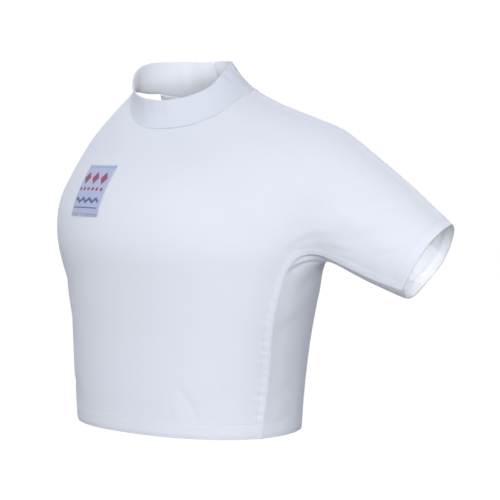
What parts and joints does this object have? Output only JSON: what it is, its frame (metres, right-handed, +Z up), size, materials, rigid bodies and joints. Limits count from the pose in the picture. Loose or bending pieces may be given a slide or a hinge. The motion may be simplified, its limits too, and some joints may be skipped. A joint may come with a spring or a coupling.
{
  "type": "one-sleeved fencing jacket",
  "caption": "Cropped white fencing jacket with a stand collar, one short sleeve, a side panel and a bare shoulder, kept in its worn form.",
  "frame": {"origin": "middle of the neck's base, level with the point where the left shoulder seam meets the collar; the wearer's shoulders hold the jacket up here", "axes": "+X to the wearer's left, along the sleeve's side; +Y to the wearer's back; +Z up"},
  "size_m": [0.5605, 0.265, 0.4791],
  "materials": {
    "body_cloth": "matt white close-woven cotton and polyester twill",
    "collar_cloth": "matt white doubled cloth",
    "label_cloth": "smooth woven badge, pale blue grey"
  },
  "bodies": {
    "root": {"front": "body_cloth", "back_left": "body_cloth", "back_right": "body_cloth", "side_left": "body_cloth", "collar": "collar_cloth", "chest_label": "label_cloth"}
  },
  "joints": []
}
